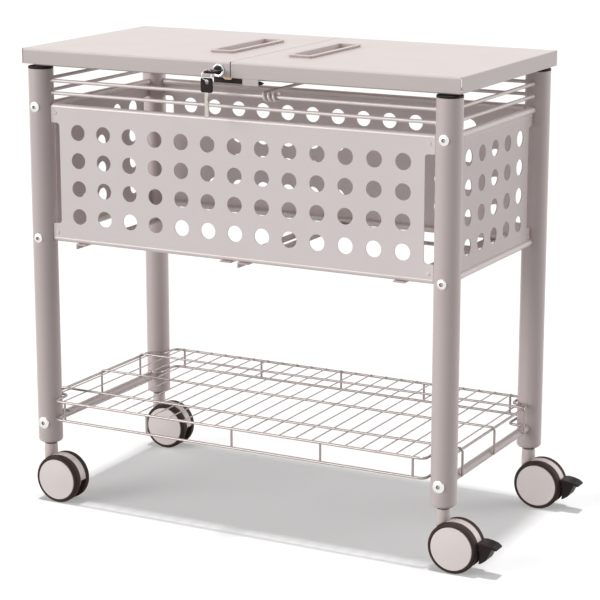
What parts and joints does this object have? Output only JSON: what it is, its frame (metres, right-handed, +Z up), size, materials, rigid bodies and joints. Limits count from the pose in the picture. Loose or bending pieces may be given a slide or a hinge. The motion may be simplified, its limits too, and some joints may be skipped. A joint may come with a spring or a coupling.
{
  "type": "mobile file cart",
  "caption": "Steel file cart with a perforated basket, rods for hanging files, sliding lids with a cam lock, a low wire shelf and twin-wheel casters.",
  "frame": {"origin": "middle of the whole cart's box, on the floor", "axes": "+Z up, the front with the lock faces -Y, the right side with the brakes faces +X"},
  "size_m": [0.783, 0.3984, 0.712],
  "materials": {
    "powder_coat": "satin silver-grey powder coat",
    "pull": "satin silver-grey paint",
    "wire": "bright silver powder coat on wire",
    "black_plastic": "moulded, slightly satin",
    "stem_steel": "dark plated",
    "hood": "moulded, light grey",
    "tyre": "dark rubber, with a light grey hub cap",
    "zinc": "bright zinc",
    "chrome": "polished",
    "brass": "cast and tumbled",
    "black_steel": "black oxide"
  },
  "bodies": {
    "frame": {"leg_front_left": "powder_coat", "leg_cap_front_left": "black_plastic", "caster_stem_front_left": "stem_steel", "leg_front_right": "powder_coat", "leg_cap_front_right": "black_plastic", "caster_stem_front_right": "stem_steel", "leg_rear_left": "powder_coat", "leg_cap_rear_left": "black_plastic", "caster_stem_rear_left": "stem_steel", "leg_rear_right": "powder_coat", "leg_cap_rear_right": "black_plastic", "caster_stem_rear_right": "stem_steel", "panel_front": "powder_coat", "rod_upper_front": "wire", "rod_lower_front": "wire", "panel_rear": "powder_coat", "rod_upper_rear": "wire", "rod_lower_rear": "wire", "panel_left": "powder_coat", "rod_upper_left": "wire", "rod_lower_left": "wire", "panel_right": "powder_coat", "rod_upper_right": "wire", "rod_lower_right": "wire", "floor_rack_left": "powder_coat", "stretcher_left": "powder_coat", "floor_rack_right": "powder_coat", "stretcher_right": "powder_coat", "slide_rail_front": "powder_coat", "slide_rail_rear": "powder_coat", "wire_shelf": "wire"},
    "lid_left": {"lid_left": "powder_coat", "pull_left": "pull", "lock_barrel": "chrome"},
    "lid_right": {"lid_right": "powder_coat", "pull_right": "pull"},
    "lock": {"lock_plug": "brass", "lock_cam": "black_steel", "key": "black_plastic"},
    "spare_keys": {"key_ring": "chrome", "spare_key": "black_plastic"},
    "file_rail": {"file_rail": "wire"},
    "caster_front_left": {"caster_hood_front_left": "hood", "axle_front_left": "zinc"},
    "caster_front_right": {"caster_hood_front_right": "hood", "axle_front_right": "zinc"},
    "caster_rear_left": {"caster_hood_rear_left": "hood", "axle_rear_left": "zinc"},
    "caster_rear_right": {"caster_hood_rear_right": "hood", "axle_rear_right": "zinc"},
    "wheel_front_left_a": {"wheel_front_left_a": "tyre"},
    "wheel_front_left_b": {"wheel_front_left_b": "tyre"},
    "wheel_front_right_a": {"wheel_front_right_a": "tyre"},
    "wheel_front_right_b": {"wheel_front_right_b": "tyre"},
    "wheel_rear_left_a": {"wheel_rear_left_a": "tyre"},
    "wheel_rear_left_b": {"wheel_rear_left_b": "tyre"},
    "wheel_rear_right_a": {"wheel_rear_right_a": "tyre"},
    "wheel_rear_right_b": {"wheel_rear_right_b": "tyre"},
    "pedal_front_right": {"brake_pedal_front_right": "black_plastic"},
    "pedal_rear_right": {"brake_pedal_rear_right": "black_plastic"}
  },
  "joints": [
    {"name": "left_lid_slide", "type": "slide", "parent": "frame", "child": "lid_left", "axis": [-1, 0, 0], "range_m": [0, 0.24]},
    {"name": "right_lid_slide", "type": "slide", "parent": "frame", "child": "lid_right", "axis": [1, 0, 0], "range_m": [0, 0.24]},
    {"name": "lock_turn", "type": "hinge", "parent": "lid_left", "child": "lock", "pos_m": [-0.05046, -0.15757, 0.6948], "axis": [0, 1, 0], "range_deg": [0, 90]},
    {"name": "spare_key_swing", "type": "hinge", "parent": "lock", "child": "spare_keys", "pos_m": [-0.05046, -0.18017, 0.6948], "axis": [-1, 0, 0], "range_deg": [0, 40]},
    {"name": "file_rail_slide", "type": "slide", "parent": "frame", "child": "file_rail", "axis": [1, 0, 0], "range_m": [-0.076, 0.24]},
    {"name": "swivel_front_left", "type": "hinge", "parent": "frame", "child": "caster_front_left", "pos_m": [-0.36751, -0.14357, 0.09], "axis": [0, 0, 1], "continuous": true},
    {"name": "swivel_front_right", "type": "hinge", "parent": "frame", "child": "caster_front_right", "pos_m": [0.30449, -0.14357, 0.09], "axis": [0, 0, 1], "continuous": true},
    {"name": "swivel_rear_left", "type": "hinge", "parent": "frame", "child": "caster_rear_left", "pos_m": [-0.36751, 0.17843, 0.09], "axis": [0, 0, 1], "continuous": true},
    {"name": "swivel_rear_right", "type": "hinge", "parent": "frame", "child": "caster_rear_right", "pos_m": [0.30449, 0.17843, 0.09], "axis": [0, 0, 1], "continuous": true},
    {"name": "spin_front_left_a", "type": "hinge", "parent": "caster_front_left", "child": "wheel_front_left_a", "pos_m": [-0.34651, -0.15532, 0.0375], "axis": [0, 1, 0], "continuous": true},
    {"name": "spin_front_left_b", "type": "hinge", "parent": "caster_front_left", "child": "wheel_front_left_b", "pos_m": [-0.34651, -0.13182, 0.0375], "axis": [0, 1, 0], "continuous": true},
    {"name": "spin_front_right_a", "type": "hinge", "parent": "caster_front_right", "child": "wheel_front_right_a", "pos_m": [0.32549, -0.15532, 0.0375], "axis": [0, 1, 0], "continuous": true},
    {"name": "spin_front_right_b", "type": "hinge", "parent": "caster_front_right", "child": "wheel_front_right_b", "pos_m": [0.32549, -0.13182, 0.0375], "axis": [0, 1, 0], "continuous": true},
    {"name": "spin_rear_left_a", "type": "hinge", "parent": "caster_rear_left", "child": "wheel_rear_left_a", "pos_m": [-0.34651, 0.16668, 0.0375], "axis": [0, 1, 0], "continuous": true},
    {"name": "spin_rear_left_b", "type": "hinge", "parent": "caster_rear_left", "child": "wheel_rear_left_b", "pos_m": [-0.34651, 0.19018, 0.0375], "axis": [0, 1, 0], "continuous": true},
    {"name": "spin_rear_right_a", "type": "hinge", "parent": "caster_rear_right", "child": "wheel_rear_right_a", "pos_m": [0.32549, 0.16668, 0.0375], "axis": [0, 1, 0], "continuous": true},
    {"name": "spin_rear_right_b", "type": "hinge", "parent": "caster_rear_right", "child": "wheel_rear_right_b", "pos_m": [0.32549, 0.19018, 0.0375], "axis": [0, 1, 0], "continuous": true},
    {"name": "brake_front_right", "type": "hinge", "parent": "caster_front_right", "child": "pedal_front_right", "pos_m": [0.36901, -0.14357, 0.04675], "axis": [0, 1, 0], "range_deg": [0, 10]},
    {"name": "brake_rear_right", "type": "hinge", "parent": "caster_rear_right", "child": "pedal_rear_right", "pos_m": [0.36901, 0.17843, 0.04675], "axis": [0, 1, 0], "range_deg": [0, 10]}
  ]
}
